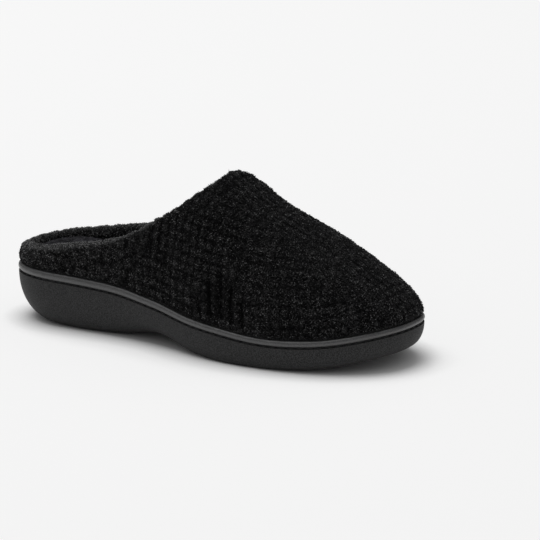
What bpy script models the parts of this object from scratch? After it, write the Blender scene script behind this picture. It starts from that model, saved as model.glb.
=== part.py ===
"""A right-foot scuff slipper with a low padded heel wall, standing on its sole.

The toe points to -Y, the outer (lateral) side is at -X and +Z is up. The origin lies on the floor,
under the middle of the slipper. Every piece is worked out around one outline: a turn angle runs from
the toe tip (0) past the lateral side to the back of the heel (half a turn) and back along the medial
side.
"""

import math

import bpy
import numpy as np

MM = 0.001

# Overall sizes
SOLE_LENGTH = 265 * MM
BALL_WIDTH = 98 * MM
HEEL_WIDTH = 69 * MM
HEEL_STACK = 35 * MM  # floor to the top of the sole's rim at the heel
FOREFOOT_STACK = 18 * MM  # the same at the ball
INSTEP_HEIGHT = 101.5 * MM  # floor to the top of the throat

# Sole
TOE_SPRING = 9 * MM
ARCH_RISE = 5 * MM
RIM_WIDTH = 2.6 * MM
RIM_HEIGHT = 4.2 * MM  # above the bed that the upper and the insole stand on
RIM_ROUND = 0.9 * MM
GROOVE_WIDTH = 1.1 * MM  # the stitching groove under the rim
GROOVE_DEPTH = 1.0 * MM
GROOVE_DROP = 3.6 * MM  # from the top of the rim to the groove
HEEL_TUCK = 19 * MM  # how far the tread's edge lies inside the rim at the back of the heel
SIDE_TUCK = 9 * MM
WAIST_TUCK = 18 * MM
TOE_TUCK = 8 * MM
TREAD_DEPTH = 1.4 * MM
TREAD_WIDTH = 2.2 * MM
TREAD_PITCH = 9 * MM
TREAD_MARGIN = 5 * MM  # from the ends of the channels to the tread's edge
TREAD_ZONES = ((0.10, 0.27), (0.58, 0.88))  # shares of the length that have channels

# Upper
WALL = 4 * MM
COLLAR_WALL = 13 * MM  # the padded edge at the heel
THROAT_WALL = 10 * MM
HEEL_COLLAR_HEIGHT = 46 * MM  # floor to the top of the collar at the back
THROAT_SHARE = 0.565  # how far along the sole the throat lies, from the heel
RIM_LAP = 2.2 * MM  # how far the padded fabric swells out over the rim
TUCK_ROUND = 1.2 * MM

# Insole
HEEL_CUSHION = 13 * MM  # thickness of the insole's edge at the heel
FOREFOOT_CUSHION = 8 * MM
CROWN = 2 * MM  # how far the middle of the insole stands above its edge
FIT_GAP = 0.3 * MM

# How far the rounded ends of the outline and of the dome reach, as shares of the sole's length
TOE_END_SHARE = 0.31
HEEL_END_SHARE = 0.15
TOE_DOME_SHARE = 0.165
HEEL_DOME_SHARE = 0.14
END_POWER = 2.25
DOME_POWER = 2.2

TURN_STEPS = 96
OUTER_ROWS = 13
INNER_ROWS = 10
EDGE_ROWS = 4

# Columns: share of the length from the heel; width, as the way from the heel's to the ball's; share of
# the width on the lateral side; sideways shift of the middle line towards the medial side, as a share
# of the ball's width
OUTLINE = (
    (0.00, 0.00, 0.50, 0.000),
    (0.15, 0.08, 0.50, -0.005),
    (0.30, 0.08, 0.51, 0.000),
    (0.44, 0.30, 0.52, -0.005),
    (0.56, 0.72, 0.52, -0.010),
    (0.68, 1.00, 0.51, 0.003),
    (0.80, 1.01, 0.51, 0.020),
    (0.90, 0.98, 0.51, 0.038),
    (1.00, 0.96, 0.51, 0.054),
)

# Columns: share of the length; rim height, as the way from the forefoot's to the heel's; lift of the
# toe, as a share of the toe spring; lift of the tread, as a share of the arch rise
SOLE_HEIGHTS = (
    (0.00, 0.96, 0.00, 0.15),
    (0.08, 0.98, 0.00, 0.00),
    (0.20, 0.94, 0.00, 0.00),
    (0.30, 0.87, 0.00, 0.16),
    (0.42, 0.64, 0.00, 1.00),
    (0.54, 0.31, 0.00, 0.15),
    (0.62, 0.18, 0.00, 0.00),
    (0.72, 0.04, 0.00, 0.00),
    (0.84, 0.00, 0.19, 0.00),
    (1.00, 0.00, 1.00, 0.00),
)

# Columns: share of the length; shares of the heel's, the side's, the waist's and the toe's tuck
TUCKS = (
    (0.00, 1.0, 0.0, 0.0, 0.0),
    (0.06, 0.6, 0.4, 0.0, 0.0),
    (0.16, 0.1, 1.0, 0.0, 0.0),
    (0.28, 0.0, 0.9, 0.2, 0.0),
    (0.40, 0.0, 0.2, 0.8, 0.0),
    (0.52, 0.0, 0.6, 0.3, 0.0),
    (0.66, 0.0, 0.55, 0.0, 0.0),
    (0.84, 0.0, 0.5, 0.0, 0.2),
    (1.00, 0.0, 0.0, 0.0, 1.0),
)

# Columns: share of the length; height of the ridge of the upper, as a share of the instep height
RIDGE = (
    (0.00, 0.90),
    (0.20, 1.00),
    (0.40, 1.03),
    (0.56, 1.00),
    (0.66, 0.84),
    (0.77, 0.71),
    (0.88, 0.56),
    (1.00, 0.44),
)

# Columns: share of the way from the heel's collar to the throat; rise, as a share of that between
# their heights
COLLAR = (
    (0.00, 0.00),
    (0.20, 0.055),
    (0.40, 0.16),
    (0.55, 0.25),
    (0.70, 0.43),
    (0.85, 0.685),
    (0.93, 0.845),
    (1.00, 1.00),
)


def curve(rows, column):
    """A smooth curve through one column of a table, without overshoot, as a function of the first column."""
    x = np.array([row[0] for row in rows], float)
    y = np.array([row[column] for row in rows], float)
    step = np.diff(x)
    slope = np.diff(y) / step
    tangent = np.zeros(len(x))
    tangent[0] = slope[0]
    tangent[-1] = slope[-1]
    for i in range(1, len(x) - 1):
        if slope[i - 1] * slope[i] > 0:
            before = 2 * step[i] + step[i - 1]
            after = step[i] + 2 * step[i - 1]
            tangent[i] = (before + after) / (before / slope[i - 1] + after / slope[i])

    def value(at):
        at = np.clip(np.asarray(at, float), x[0], x[-1])
        i = np.clip(np.searchsorted(x, at) - 1, 0, len(x) - 2)
        t = (at - x[i]) / step[i]
        flat = t * t * (3 - 2 * t)
        return (
            y[i] * (1 - flat)
            + y[i + 1] * flat
            + step[i] * t * (1 - t) * (tangent[i] * (1 - t) - tangent[i + 1] * t)
        )

    return value


width_way = curve(OUTLINE, 1)
lateral_share = curve(OUTLINE, 2)
middle_shift = curve(OUTLINE, 3)
rim_way = curve(SOLE_HEIGHTS, 1)
toe_lift = curve(SOLE_HEIGHTS, 2)
arch_lift = curve(SOLE_HEIGHTS, 3)
tuck_shares = [curve(TUCKS, column) for column in (1, 2, 3, 4)]
ridge_share = curve(RIDGE, 1)
collar_rise = curve(COLLAR, 1)


def rounded(way, power):
    """0 to 1 along the quarter of a rounded end, as way goes from 0 at the tip to 1."""
    return (1 - (1 - np.clip(way, 0, 1)) ** power) ** (1 / power)


def unrounded(height, power):
    """The way at which rounded reaches that height."""
    return 1 - (1 - height**power) ** (1 / power)


def half_width(share, side, inset=0.0):
    """From the middle line to an outline set in by inset; side is -1 for lateral, 1 for medial."""
    width = HEEL_WIDTH + (BALL_WIDTH - HEEL_WIDTH) * width_way(share)
    part = np.where(side < 0, lateral_share(share), 1 - lateral_share(share))
    toe = rounded((1 - share) / TOE_END_SHARE, END_POWER)
    heel = rounded(share / HEEL_END_SHARE, END_POWER)
    return (width * part - inset) * toe * heel


def along(share, inset=0.0):
    """Distance from the back of the heel of a share of the length of an outline set in by inset."""
    return inset + (SOLE_LENGTH - 2 * inset) * share


def middle(distance):
    """Sideways place of the middle line."""
    return middle_shift(distance / SOLE_LENGTH) * BALL_WIDTH


def share_at(turn):
    return (1 + np.cos(turn)) / 2


def side_at(turn):
    return np.where(np.sin(turn) >= 0, -1.0, 1.0)


def outline(turn, inset=0.0):
    """(sideways, distance from the heel) of the outline, set in by inset."""
    share = share_at(turn)
    distance = along(share, inset)
    return middle(distance) + side_at(turn) * half_width(share, side_at(turn), inset), distance


def rim_top(share):
    return FOREFOOT_STACK + (HEEL_STACK - FOREFOOT_STACK) * rim_way(share) + TOE_SPRING * toe_lift(share)


def bed(share):
    """Top of the sole inside its rim."""
    return rim_top(share) - RIM_HEIGHT


def tread(share):
    """Underside of the sole."""
    return TOE_SPRING * toe_lift(share) + ARCH_RISE * arch_lift(share)


def tuck(share):
    """How far the tread's edge lies inside the rim."""
    sizes = (HEEL_TUCK, SIDE_TUCK, WAIST_TUCK, TOE_TUCK)
    return sum(size * way(share) for size, way in zip(sizes, tuck_shares))


upper_inset = RIM_WIDTH + FIT_GAP
dome_inset = upper_inset - RIM_LAP


def dome_foot(share):
    """Height at which the upper's face starts, just over the rim."""
    return rim_top(share) + FIT_GAP + TUCK_ROUND


def dome_ridge(share):
    """Height of the ridge of the upper above that."""
    toe = rounded((1 - share) / TOE_DOME_SHARE, DOME_POWER)
    heel = rounded(share / HEEL_DOME_SHARE, DOME_POWER)
    return (INSTEP_HEIGHT * ridge_share(share) - dome_foot(share)) * toe * heel


def dome(sideways, distance):
    """Height of the upper's outer face over a point of the floor, as if it had no opening."""
    share = np.clip((distance - dome_inset) / (SOLE_LENGTH - 2 * dome_inset), 0, 1)
    offset = sideways - middle(distance)
    half = np.maximum(half_width(share, np.sign(offset), dome_inset), 1e-9)
    out = np.clip(np.abs(offset) / half, 0, 1)
    return dome_foot(share) + dome_ridge(share) * (1 - out**DOME_POWER) ** (1 / DOME_POWER)


def collar_wall(way):
    """Thickness of the padded edge, from the back of the heel (0) to the throat (1)."""
    blend = np.clip((way - 0.35) / 0.5, 0, 1)
    blend = blend * blend * (3 - 2 * blend)
    return COLLAR_WALL + (THROAT_WALL - COLLAR_WALL) * blend


def collar_edge(turn):
    """(sideways, distance, way to the throat) of the collar's outer edge, on the dome."""
    throat = THROAT_SHARE * SOLE_LENGTH
    top = HEEL_COLLAR_HEIGHT - COLLAR_WALL / 2
    full = INSTEP_HEIGHT * ridge_share(0) - dome_foot(0)
    heel = HEEL_DOME_SHARE * SOLE_LENGTH
    back = dome_inset + heel * unrounded((top - dome_foot(0)) / full, DOME_POWER)
    way = 1 - (1 - share_at(turn)) ** (SOLE_LENGTH / (throat - back))
    distance = back + (throat - back) * way
    share = (distance - dome_inset) / (SOLE_LENGTH - 2 * dome_inset)
    height = top + (dome(middle(throat), throat) - top) * collar_rise(way)
    reach = np.clip((height - dome_foot(share)) / dome_ridge(share), 0, 1)
    out = (1 - reach**DOME_POWER) ** (1 / DOME_POWER)
    side = side_at(turn)
    return middle(distance) + side * out * half_width(share, side, dome_inset), distance, way


def outward(turn):
    """Unit vectors, level and square to the outline."""
    x, y = outline(turn)
    ahead, behind = outline(turn + 0.01), outline(turn - 0.01)
    run = np.stack([ahead[0] - behind[0], ahead[1] - behind[1]], -1)
    normal = np.stack([-run[:, 1], run[:, 0]], -1)
    normal /= np.linalg.norm(normal, axis=1, keepdims=True)
    centre = np.stack([x - middle(y), y - SOLE_LENGTH / 2], -1)
    return normal * np.sign((normal * centre).sum(1, keepdims=True))


def upper_face(turn, rows):
    """The upper's outer face above the rim, as rows up to the collar, and the wall's thickness there."""
    start = outline(turn, dome_inset)
    edge = collar_edge(turn)
    points, walls = [], []
    for k in range(rows):
        level = k / (rows - 1)
        reach = 1 - math.cos(level * math.pi / 2)
        sideways = start[0] + (edge[0] - start[0]) * reach
        distance = start[1] + (edge[1] - start[1]) * reach
        points.append(np.stack([sideways, distance, dome(sideways, distance)], -1))
        blend = np.clip((level - 0.3) / 0.6, 0, 1)
        blend = blend * blend * (3 - 2 * blend)
        low = WALL + RIM_LAP * max(0, 1 - level / 0.3)
        walls.append(low + (collar_wall(edge[2]) - low) * blend)
    return np.array(points), np.array(walls)


def grid_normals(points):
    """Outward unit normals of a grid of rows, closed round each row."""
    around = np.roll(points, -1, axis=1) - np.roll(points, 1, axis=1)
    up = np.gradient(points, axis=0)
    normal = np.cross(around, up)
    return normal / np.maximum(np.linalg.norm(normal, axis=2, keepdims=True), 1e-12)


def placed(points):
    """From (sideways, distance from the heel, height) to the slipper's frame."""
    points = np.asarray(points, float)
    turn = np.linspace(0, 2 * math.pi, 721)
    sideways = outline(turn)[0]
    centre = (sideways.min() + sideways.max()) / 2
    return np.stack([points[..., 0] - centre, SOLE_LENGTH / 2 - points[..., 1], points[..., 2]], -1)


def ring_solid(name, rings, closed, material):
    """A solid from rings of equal length: closed into a hoop, or with each end closed across its ring."""
    count = len(rings[0])
    points = placed(np.concatenate(rings))
    faces = []
    last = len(rings) if closed else len(rings) - 1
    for row in range(last):
        a, b = row * count, (row + 1) % len(rings) * count
        for i in range(count):
            j = (i + 1) % count
            faces.append((a + i, b + i, b + j, a + j))
    if not closed:
        for base, flip in ((0, True), ((len(rings) - 1) * count, False)):
            faces += across(base, count, flip)
    mesh = bpy.data.meshes.new(name)
    mesh.from_pydata([tuple(p) for p in points], [], faces)
    mesh.update()
    mesh.shade_smooth()
    mesh.set_sharp_from_angle(angle=math.radians(38))
    mesh.materials.append(material)
    made = bpy.data.objects.new(name, mesh)
    bpy.context.scene.collection.objects.link(made)
    return made


def across(base, count, flip):
    """Faces that span a ring from its lateral to its medial side, between the toe tip and the heel."""
    half = count // 2
    faces = [(base, base + count - 1, base + 1)]
    for i in range(1, half - 1):
        faces.append((base + i, base + count - i, base + count - i - 1, base + i + 1))
    faces.append((base + half - 1, base + half + 1, base + half))
    return [tuple(reversed(face)) for face in faces] if flip else faces


def finish(name, colour, roughness):
    material = bpy.data.materials.new(name)
    material.use_nodes = True
    shader = material.node_tree.nodes["Principled BSDF"]
    shader.inputs["Base Color"].default_value = (*colour, 1)
    shader.inputs["Roughness"].default_value = roughness
    shader.inputs["Metallic"].default_value = 0
    return material


def make_outsole(turn):
    """The one moulding: tread, side wall, stitching groove, rim and bed."""
    share = share_at(turn)
    top, low = rim_top(share), tread(share)
    groove_top = top - GROOVE_DROP
    groove_low = groove_top - GROOVE_WIDTH
    rings = []

    def ring(inset, height):
        rings.append(np.stack([*outline(turn, inset), height], -1))

    depth = tuck(share)
    for rise in (0.0, 0.02, 0.08, 0.18, 0.32, 0.52, 0.76):
        drop = 1 - rise
        ring(depth * (1 - (1 - drop**2.1) ** (1 / 2.1)), low + (groove_low - low) * rise)
    ring(0, groove_low)
    ring(GROOVE_DEPTH, groove_low)
    ring(GROOVE_DEPTH, groove_top)
    ring(0, groove_top)
    ring(0, top - RIM_ROUND)
    ring(RIM_ROUND * 0.3, top - RIM_ROUND * 0.3)
    ring(RIM_ROUND, top)
    ring(RIM_WIDTH, top)
    ring(RIM_WIDTH, bed(share))
    return ring_solid("outsole", rings, False, finish("sole_rubber", (0.03, 0.03, 0.031), 0.6))


def upper_columns(turn):
    """The hollow upper as rings, from the foot of its outer face over the padded edge and down inside."""
    share = share_at(turn)

    def level_ring(inset, height):
        return np.stack([*outline(turn, inset), height], -1)

    foot, rim = bed(share) + FIT_GAP, rim_top(share) + FIT_GAP
    outer, _ = upper_face(turn, OUTER_ROWS)
    inner_from, walls = upper_face(turn, INNER_ROWS)
    inner = inner_from - grid_normals(inner_from) * walls[:, :, None]
    normal = grid_normals(outer)[-1]
    along_wall = np.gradient(outer, axis=0)[-1]
    along_wall -= normal * (along_wall * normal).sum(1, keepdims=True)
    along_wall /= np.linalg.norm(along_wall, axis=1, keepdims=True)
    middle_point = (outer[-1] + inner[-1]) / 2
    radius = walls[-1][:, None] / 2
    edge = []
    for k in range(1, EDGE_ROWS + 1):
        angle = math.pi * k / (EDGE_ROWS + 1)
        edge.append(middle_point + (normal * math.cos(angle) + along_wall * math.sin(angle)) * radius)
    below = [
        level_ring(upper_inset, foot),
        level_ring(upper_inset, rim),
        level_ring(dome_inset + RIM_LAP * 0.4, rim),
    ]
    return [*below, *outer, *edge, *inner[::-1], level_ring(upper_inset + WALL, foot)]


def make_upper(turn):
    return ring_solid("upper", upper_columns(turn), True, finish("terry", (0.012, 0.012, 0.012), 0.95))


def make_insole(turn):
    """The cushioned insole, whose sides follow the upper's lining face."""
    lining = np.array(upper_columns(turn)[3 + OUTER_ROWS :][::-1])
    share = share_at(turn)
    low = bed(share) + FIT_GAP
    cushion = FOREFOOT_CUSHION + (HEEL_CUSHION - FOREFOOT_CUSHION) * np.clip(rim_way(share), 0, 1)
    push = outward(turn)
    rises = (0.0, 0.25, 0.45, 0.6, 0.75, 0.88, 1.0)
    rings = []
    for k, rise in enumerate(rises):
        around = np.linspace(rises[max(k - 1, 0)], rises[min(k + 1, len(rises) - 1)], 9)
        ring = np.zeros((len(turn), 3))
        for i in range(len(turn)):
            column = lining[:, i]
            top = int(np.argmax(column[:, 2])) + 1
            heights = low[i] + cushion[i] * around
            wall = [np.interp(heights, column[:top, 2], column[:top, axis]) for axis in (0, 1)]
            near = np.stack(wall, -1)
            ring[i, :2] = near[np.argmin(near @ push[i])] - push[i] * FIT_GAP * 1.5
        if rings:
            wider = ((ring[:, :2] - rings[-1][:, :2]) * push).sum(1) > 0
            ring[wider, :2] = rings[-1][wider, :2]
        ring[:, 2] = low + cushion * rise
        rings.append(ring)
    edge = rings[-1]
    spine = np.clip(edge[:, 1], HEEL_END_SHARE * SOLE_LENGTH, (1 - TOE_END_SHARE / 2) * SOLE_LENGTH)
    for way, lift in ((0.12, 0.45), (0.35, 0.85), (0.65, 1.0)):
        inner = edge.copy()
        inner[:, 0] += (middle(spine) - edge[:, 0]) * way
        inner[:, 1] += (spine - edge[:, 1]) * way
        inner[:, 2] += CROWN * lift
        rings.append(inner)
    return ring_solid("insole", rings, False, finish("insole_fleece", (0.03, 0.03, 0.034), 0.9))


def make_tread_cutter():
    """Bars that cut the shallow channels across the tread under the heel and the forefoot."""
    points, faces = [], []
    for start, end in TREAD_ZONES:
        count = int((end - start) * SOLE_LENGTH / TREAD_PITCH) + 1
        for k in range(count):
            share = start + k * TREAD_PITCH / SOLE_LENGTH
            distance = share * SOLE_LENGTH
            sides = []
            for side in (-1, 1):
                reach = half_width(share, side) - tuck(share) - TREAD_MARGIN
                sides.append(float(middle(distance) + side * reach))
            top = float(tread(share)) + TREAD_DEPTH
            base = len(points)
            for height in (-TREAD_DEPTH, top):
                for sideways, along_it in ((0, -1), (1, -1), (1, 1), (0, 1)):
                    points.append((sides[sideways], distance + along_it * TREAD_WIDTH / 2, height))
            for face in ((0, 1, 2, 3), (7, 6, 5, 4), (0, 4, 5, 1), (1, 5, 6, 2), (2, 6, 7, 3), (3, 7, 4, 0)):
                faces.append([base + i for i in face])
    mesh = bpy.data.meshes.new("tread_cutter")
    mesh.from_pydata([tuple(p) for p in placed(points)], [], faces)
    cutter = bpy.data.objects.new("tread_cutter", mesh)
    cutter.hide_render = True
    cutter.display_type = "WIRE"
    bpy.context.scene.collection.objects.link(cutter)
    return cutter


def main():
    for thing in list(bpy.data.objects):
        bpy.data.objects.remove(thing)
    turn = np.arange(TURN_STEPS) * 2 * math.pi / TURN_STEPS
    channels = make_outsole(turn).modifiers.new("tread", "BOOLEAN")
    channels.operation = "DIFFERENCE"
    channels.solver = "EXACT"
    channels.object = make_tread_cutter()
    make_upper(turn)
    make_insole(turn)


main()
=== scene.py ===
import math

import bpy
import numpy as np
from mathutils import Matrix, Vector


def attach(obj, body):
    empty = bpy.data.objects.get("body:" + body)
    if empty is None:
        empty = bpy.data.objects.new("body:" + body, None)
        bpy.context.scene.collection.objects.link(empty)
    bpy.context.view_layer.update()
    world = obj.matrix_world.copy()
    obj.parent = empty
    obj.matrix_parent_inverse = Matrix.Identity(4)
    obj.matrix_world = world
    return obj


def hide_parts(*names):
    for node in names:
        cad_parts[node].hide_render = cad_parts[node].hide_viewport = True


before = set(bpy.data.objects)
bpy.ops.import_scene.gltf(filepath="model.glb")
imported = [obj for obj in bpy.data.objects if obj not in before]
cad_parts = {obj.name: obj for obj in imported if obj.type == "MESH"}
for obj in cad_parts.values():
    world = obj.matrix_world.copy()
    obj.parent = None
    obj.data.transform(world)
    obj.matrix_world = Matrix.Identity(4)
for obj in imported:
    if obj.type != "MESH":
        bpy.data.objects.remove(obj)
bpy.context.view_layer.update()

print("frame loaded:", ", ".join(sorted(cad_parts)))

# The shape of the last and the sole, in mm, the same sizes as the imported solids
last = {
    "soleLength": 265.0,
    "ballWidth": 98.0,
    "heelWidth": 69.0,
    "heelStack": 35.0,
    "forefootStack": 18.0,
    "instepHeight": 101.5,
    "toeSpring": 9.0,
    "archRise": 5.0,
    "rimWidth": 2.6,
    "rimHeight": 4.2,
    "fitGap": 0.3,
    "toeEnd": 0.31,  # reach of the rounded ends, as shares of the length
    "heelEnd": 0.15,
    "toeDomeEnd": 0.165,
    "heelDomeEnd": 0.14,
    "endPower": 2.25,
    "domePower": 2.2,
    # share of the length from the heel, width as the way from the heel's to the ball's,
    # lateral share of the width, shift of the middle line
    "outline": [
        (0.00, 0.00, 0.50, 0.000),
        (0.15, 0.08, 0.50, -0.005),
        (0.30, 0.08, 0.51, 0.000),
        (0.44, 0.30, 0.52, -0.005),
        (0.56, 0.72, 0.52, -0.010),
        (0.68, 1.00, 0.51, 0.003),
        (0.80, 1.01, 0.51, 0.020),
        (0.90, 0.98, 0.51, 0.038),
        (1.00, 0.96, 0.51, 0.054),
    ],
    # share, rim height from the forefoot's to the heel's, toe lift, arch lift
    "soleHeights": [
        (0.00, 0.96, 0.00, 0.15),
        (0.08, 0.98, 0.00, 0.00),
        (0.20, 0.94, 0.00, 0.00),
        (0.30, 0.87, 0.00, 0.16),
        (0.42, 0.64, 0.00, 1.00),
        (0.54, 0.31, 0.00, 0.15),
        (0.62, 0.18, 0.00, 0.00),
        (0.72, 0.04, 0.00, 0.00),
        (0.84, 0.00, 0.19, 0.00),
        (1.00, 0.00, 1.00, 0.00),
    ],
    # share, height of the ridge as a share of the instep's
    "ridge": [
        (0.00, 0.90),
        (0.20, 1.00),
        (0.40, 1.03),
        (0.56, 1.00),
        (0.66, 0.84),
        (0.77, 0.71),
        (0.88, 0.56),
        (1.00, 0.44),
    ],
}


def smoothCurve(rows, column):  # through one column of a table, without overshoot
    x = np.array([row[0] for row in rows], float)
    y = np.array([row[column] for row in rows], float)
    step = np.diff(x)
    slope = np.diff(y) / step
    tangent = np.zeros(len(x))
    tangent[0], tangent[-1] = slope[0], slope[-1]
    for i in range(1, len(x) - 1):
        if slope[i - 1] * slope[i] > 0:
            before, after = 2 * step[i] + step[i - 1], step[i] + 2 * step[i - 1]
            tangent[i] = (before + after) / (before / slope[i - 1] + after / slope[i])

    def value(at):
        at = np.clip(np.asarray(at, float), x[0], x[-1])
        i = np.clip(np.searchsorted(x, at) - 1, 0, len(x) - 2)
        t = (at - x[i]) / step[i]
        flat = t * t * (3 - 2 * t)
        bend = step[i] * t * (1 - t) * (tangent[i] * (1 - t) - tangent[i + 1] * t)
        return y[i] * (1 - flat) + y[i + 1] * flat + bend

    return value


widthWay, lateralShare, middleShift = [smoothCurve(last["outline"], k) for k in (1, 2, 3)]
rimWay, toeLift, archLift = [smoothCurve(last["soleHeights"], k) for k in (1, 2, 3)]
ridgeShare = smoothCurve(last["ridge"], 1)


def smoothStep(value, low, high):
    t = np.clip((value - low) / (high - low), 0, 1)
    return t * t * (3 - 2 * t)


def quarterArch(out, power):  # 1 at the middle, falling roundly to 0 at the edge
    return (1 - out**power) ** (1 / power)


def rounded(way, power):
    return quarterArch(1 - np.clip(way, 0, 1), power)


def roundedEnds(share, toeEnd, heelEnd, power):
    return rounded((1 - share) / toeEnd, power) * rounded(share / heelEnd, power)


def fullHalf(share, side, inset=0.0):  # half the width, before the ends are rounded
    width = last["heelWidth"] + (last["ballWidth"] - last["heelWidth"]) * widthWay(share)
    return width * np.where(side < 0, lateralShare(share), 1 - lateralShare(share)) - inset


def halfWidth(share, side, inset=0.0):
    ends = roundedEnds(share, last["toeEnd"], last["heelEnd"], last["endPower"])
    return fullHalf(share, side, inset) * ends


def middleAt(distance):
    return middleShift(distance / last["soleLength"]) * last["ballWidth"]


def shareAt(turn):
    return (1 + np.cos(turn)) / 2


def sideAt(turn):
    return np.where(np.sin(turn) >= 0, -1.0, 1.0)


def outlineAt(turn, inset=0.0):  # sideways and distance from the heel
    share, side = shareAt(turn), sideAt(turn)
    distance = inset + (last["soleLength"] - 2 * inset) * share
    return middleAt(distance) + side * halfWidth(share, side, inset), distance


def ringAt(turn, inset, height):
    return np.stack([*outlineAt(turn, inset), height], -1)


def outwardAt(turn):
    step = 0.01
    x, y = outlineAt(turn)
    ahead, behind = outlineAt(turn + step), outlineAt(turn - step)
    run = np.stack([ahead[0] - behind[0], ahead[1] - behind[1]], -1)
    normal = np.stack([-run[:, 1], run[:, 0]], -1)
    normal /= np.linalg.norm(normal, axis=1, keepdims=True)
    centre = np.stack([x - middleAt(y), y - last["soleLength"] / 2], -1)
    return normal * np.sign((normal * centre).sum(1, keepdims=True))


def rimTop(share):
    rise = (last["heelStack"] - last["forefootStack"]) * rimWay(share)
    return last["forefootStack"] + rise + last["toeSpring"] * toeLift(share)


def treadAt(share):
    return last["toeSpring"] * toeLift(share) + last["archRise"] * archLift(share)


sweep = outlineAt(np.linspace(0, 2 * math.pi, 721))[0]
centreLine = (sweep.min() + sweep.max()) / 2


def toFrame(points):  # mm from the heel, to metres in the slipper's frame
    points = np.asarray(points, float)
    sideways, distance, height = points[..., 0], points[..., 1], points[..., 2]
    return np.stack([sideways - centreLine, last["soleLength"] / 2 - distance, height], -1) * 0.001


def runAlong(*coordinates):  # length along a line, from its first point
    steps = np.sqrt(sum(np.diff(values) ** 2 for values in coordinates))
    return np.concatenate([np.zeros((*steps.shape[:-1], 1)), np.cumsum(steps, axis=-1)], axis=-1)


def gridNormals(points, closed):
    if closed:
        around = np.roll(points, -1, axis=1) - np.roll(points, 1, axis=1)
    else:
        around = np.gradient(points, axis=1)
    normal = np.cross(around, np.gradient(points, axis=0))
    return normal / np.maximum(np.linalg.norm(normal, axis=2, keepdims=True), 1e-12)


def newMesh(name, points, faces):
    mesh = bpy.data.meshes.new(name)
    mesh.from_pydata(toFrame(points).tolist(), [], faces)
    return mesh


def placed(name, data):
    made = bpy.data.objects.new(name, data)
    bpy.context.scene.collection.objects.link(made)
    return made


def aimed(made, place, aim):
    made.location = place
    made.rotation_euler = (Vector(aim) - Vector(place)).to_track_quat("-Z", "Y").to_euler()


def addPiece(name, points, faces, finish, toneAndPaintedLight=None):
    mesh = newMesh(name, points, faces)
    mesh.update()
    mesh.shade_smooth()
    mesh.materials.append(finish)
    if toneAndPaintedLight is not None:
        values = np.asarray(toneAndPaintedLight, np.float32).ravel()
        mesh.attributes.new("toneAndPaintedLight", "FLOAT", "POINT").data.foreach_set("value", values)
    piece = placed(name, mesh)
    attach(piece, "root")
    return piece


def gridFaces(rows, columns, closeRows, closeColumns):
    row = np.arange(rows if closeRows else rows - 1)
    column = np.arange(columns if closeColumns else columns - 1)
    a, i = np.meshgrid(row, column, indexing="ij")
    b, j = (a + 1) % rows, (i + 1) % columns
    quads = np.stack([a * columns + i, b * columns + i, b * columns + j, a * columns + j], -1)
    return quads.reshape(-1, 4).tolist()


# Noise on a lattice, the same on every run
def lattice(i, j, k=0):
    primes = 374761393, 668265263, 1274126177
    n = i.astype(np.int64) * primes[0] + j.astype(np.int64) * primes[1] + k * primes[2]
    n = n & 0xFFFFFFFF
    n = ((n ^ (n >> 13)) * primes[2]) & 0xFFFFFFFF
    return ((n ^ (n >> 16)) & 0xFFFFFF) / 0xFFFFFF


def noiseAt(u, v, size, seed=0):  # soft lumps, -1 to 1
    x, y = u / size, v / size
    i, j = np.floor(x).astype(int), np.floor(y).astype(int)
    s, t = x - i, y - j
    s, t = s * s * (3 - 2 * s), t * t * (3 - 2 * t)
    low = lattice(i, j, seed) * (1 - s) + lattice(i + 1, j, seed) * s
    high = lattice(i, j + 1, seed) * (1 - s) + lattice(i + 1, j + 1, seed) * s
    return (low * (1 - t) + high * t) * 2 - 1


def curlsAt(u, v, size, seed=0):  # 1 at the middle of each small curl, 0 between them
    x, y = u / size, v / size
    i, j = np.floor(x).astype(int), np.floor(y).astype(int)
    margin, reach = 0.15, 0.55  # of the middles from their cells' sides, and of a curl, squared
    nearest = np.full(x.shape, 4.0)
    for di in (-1, 0, 1):
        for dj in (-1, 0, 1):
            a = i + di + margin + (1 - 2 * margin) * lattice(i + di, j + dj, seed)
            b = j + dj + margin + (1 - 2 * margin) * lattice(i + di, j + dj, seed + 1)
            nearest = np.minimum(nearest, (x - a) ** 2 + (y - b) ** 2)
    return np.clip(1 - nearest / reach, 0, 1)


class Wire:  # a shader socket that can stand in a sum
    def __init__(self, tree, socket=None):
        self.tree, self.socket = tree, socket

    def node(self, kind, settings=None, values=None, out=0):
        made = self.tree.nodes.new(kind)
        for name, value in (settings or {}).items():
            setattr(made, name, value)
        for name, value in (values or {}).items():
            if isinstance(value, Wire):
                self.tree.links.new(value.socket, made.inputs[name])
            else:
                made.inputs[name].default_value = value
        return Wire(self.tree, made.outputs[out])

    def sum(self, operation, first, second):
        return self.node("ShaderNodeMath", {"operation": operation}, {0: first, 1: second})

    def __add__(self, other):
        return self.sum("ADD", self, other)

    def __sub__(self, other):
        return self.sum("SUBTRACT", self, other)

    def __rsub__(self, other):
        return self.sum("SUBTRACT", other, self)

    def __mul__(self, other):
        return self.sum("MULTIPLY", self, other)

    def __pow__(self, other):
        return self.sum("POWER", self, other)

    __radd__ = __add__
    __rmul__ = __mul__

    def mixed(self, first, second):  # two colours, by this value
        values = {6: (*first, 1), 7: (*second, 1), 0: self}
        return self.node("ShaderNodeMix", {"data_type": "RGBA"}, values, out=2)


def newFinish(name, steady):  # steady: what is the same all over the surface
    material = bpy.data.materials.new(name)
    material.use_nodes = True
    shader = material.node_tree.nodes["Principled BSDF"]
    for socket, value in steady.items():
        shader.inputs[socket].default_value = value
    return material, Wire(material.node_tree), shader


def connect(shader, links):
    for socket, wire in links.items():
        wire.tree.links.new(wire.socket, shader.inputs[socket])


def placeOn(wire):  # metres in the piece's own frame
    return wire.node("ShaderNodeTexCoord", out=3)


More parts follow.
